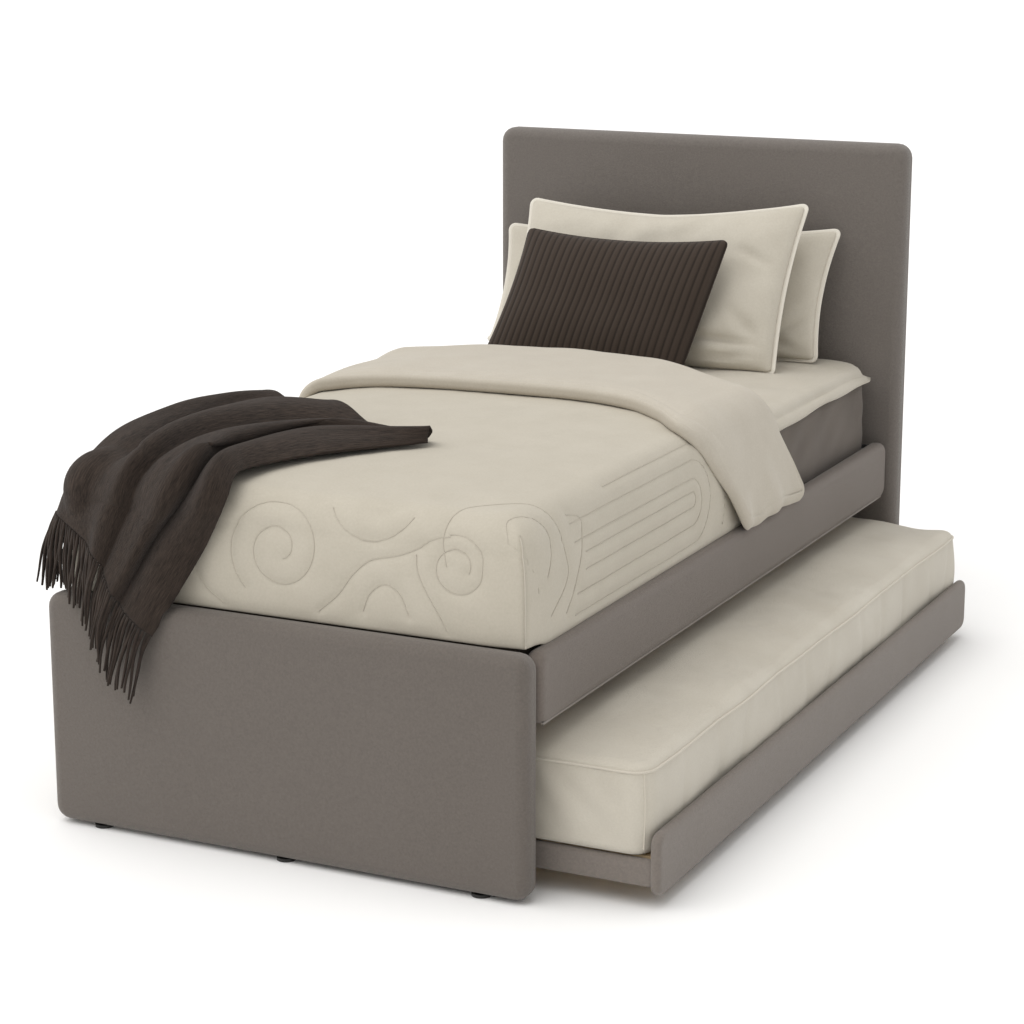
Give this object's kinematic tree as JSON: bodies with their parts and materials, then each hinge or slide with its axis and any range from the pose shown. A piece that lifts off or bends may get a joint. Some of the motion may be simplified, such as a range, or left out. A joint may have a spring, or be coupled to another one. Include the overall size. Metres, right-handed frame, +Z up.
{
  "type": "trundle bed",
  "caption": "Upholstered single bed with a padded headboard and footboard, dressed with bedding, and a wheeled trundle bed that pulls out sideways from under it.",
  "frame": {"origin": "bottom centre of the whole bed's box, on the floor, with the trundle pulled out 213 mm", "axes": "+X towards the side the trundle pulls out, +Y from the foot to the head, +Z up"},
  "size_m": [1.243, 2.087, 1.15],
  "materials": {
    "upholstery": "matte",
    "pine": "satin",
    "plywood": "matte",
    "zinc_steel": "satin",
    "glide_plastic": "matte",
    "wheel_plastic": "matte",
    "mattress_border": "matte",
    "topper_knit": "matte",
    "quilt_cotton": "matte",
    "pillow_cotton": "matte",
    "cushion_rib": "matte",
    "throw_wool": "matte",
    "mattress_knit": "matte"
  },
  "bodies": {
    "bed_frame": {"bed_slat_01": "pine", "bed_slat_02": "pine", "bed_slat_03": "pine", "bed_slat_04": "pine", "bed_slat_05": "pine", "bed_slat_06": "pine", "bed_slat_07": "pine", "bed_slat_08": "pine", "bed_slat_09": "pine", "bed_slat_10": "pine", "bed_slat_11": "pine", "bed_slat_12": "pine", "bracket_bolts": "zinc_steel", "corner_brackets": "zinc_steel", "floor_glides": "glide_plastic", "footboard_core": "pine", "footboard_cover": "upholstery", "headboard_core": "pine", "headboard_cover": "upholstery", "mattress": "mattress_border", "mattress_topper": "topper_knit", "pillow_back": "pillow_cotton", "pillow_front": "pillow_cotton", "quilt": "quilt_cotton", "quilt_turn_down": "quilt_cotton", "ribbed_cushion": "cushion_rib", "side_rail_core_left": "pine", "side_rail_core_right": "pine", "side_rail_cover_left": "upholstery", "side_rail_cover_right": "upholstery", "slat_ledger_left": "pine", "slat_ledger_right": "pine", "throw_blanket": "throw_wool"},
    "trundle": {"trundle_back_rail": "pine", "trundle_cross_rail_1": "pine", "trundle_cross_rail_2": "pine", "trundle_cross_rail_3": "pine", "trundle_deck_board_1": "plywood", "trundle_deck_board_2": "plywood", "trundle_deck_board_3": "plywood", "trundle_end_rail_foot": "pine", "trundle_end_rail_head": "pine", "trundle_end_sleeve_foot": "upholstery", "trundle_end_sleeve_head": "upholstery", "trundle_ledger_back": "pine", "trundle_ledger_front": "pine", "trundle_mattress": "mattress_knit", "trundle_panel_core": "pine", "trundle_panel_cover": "upholstery", "wheel_plates": "zinc_steel", "wheel_pins": "zinc_steel", "wheel_screws": "zinc_steel"},
    "wheel_foot_back": {"wheel_foot_back": "wheel_plastic"},
    "wheel_foot_front": {"wheel_foot_front": "wheel_plastic"},
    "wheel_head_back": {"wheel_head_back": "wheel_plastic"},
    "wheel_head_front": {"wheel_head_front": "wheel_plastic"},
    "wheel_middle_back": {"wheel_middle_back": "wheel_plastic"},
    "wheel_middle_front": {"wheel_middle_front": "wheel_plastic"}
  },
  "joints": [
    {"name": "trundle_slide", "type": "slide", "parent": "bed_frame", "child": "trundle", "axis": [1, 0, 0], "range_m": [-0.213, 0.709]},
    {"name": "wheel_foot_back_spin", "type": "hinge", "parent": "trundle", "child": "wheel_foot_back", "pos_m": [-0.2205, -0.639, 0.025], "axis": [0, 1, 0], "continuous": true},
    {"name": "wheel_foot_front_spin", "type": "hinge", "parent": "trundle", "child": "wheel_foot_front", "pos_m": [0.5095, -0.639, 0.025], "axis": [0, 1, 0], "continuous": true},
    {"name": "wheel_head_back_spin", "type": "hinge", "parent": "trundle", "child": "wheel_head_back", "pos_m": [-0.2205, 0.701, 0.025], "axis": [0, 1, 0], "continuous": true},
    {"name": "wheel_head_front_spin", "type": "hinge", "parent": "trundle", "child": "wheel_head_front", "pos_m": [0.5095, 0.701, 0.025], "axis": [0, 1, 0], "continuous": true},
    {"name": "wheel_middle_back_spin", "type": "hinge", "parent": "trundle", "child": "wheel_middle_back", "pos_m": [-0.2205, 0.031, 0.025], "axis": [0, 1, 0], "continuous": true},
    {"name": "wheel_middle_front_spin", "type": "hinge", "parent": "trundle", "child": "wheel_middle_front", "pos_m": [0.5095, 0.031, 0.025], "axis": [0, 1, 0], "continuous": true}
  ],
  "couplings": [
    {"joint": "wheel_foot_back_spin", "follows": "trundle_slide", "rad_per_m": 40},
    {"joint": "wheel_foot_front_spin", "follows": "trundle_slide", "rad_per_m": 40},
    {"joint": "wheel_head_back_spin", "follows": "trundle_slide", "rad_per_m": 40},
    {"joint": "wheel_head_front_spin", "follows": "trundle_slide", "rad_per_m": 40},
    {"joint": "wheel_middle_back_spin", "follows": "trundle_slide", "rad_per_m": 40},
    {"joint": "wheel_middle_front_spin", "follows": "trundle_slide", "rad_per_m": 40}
  ]
}
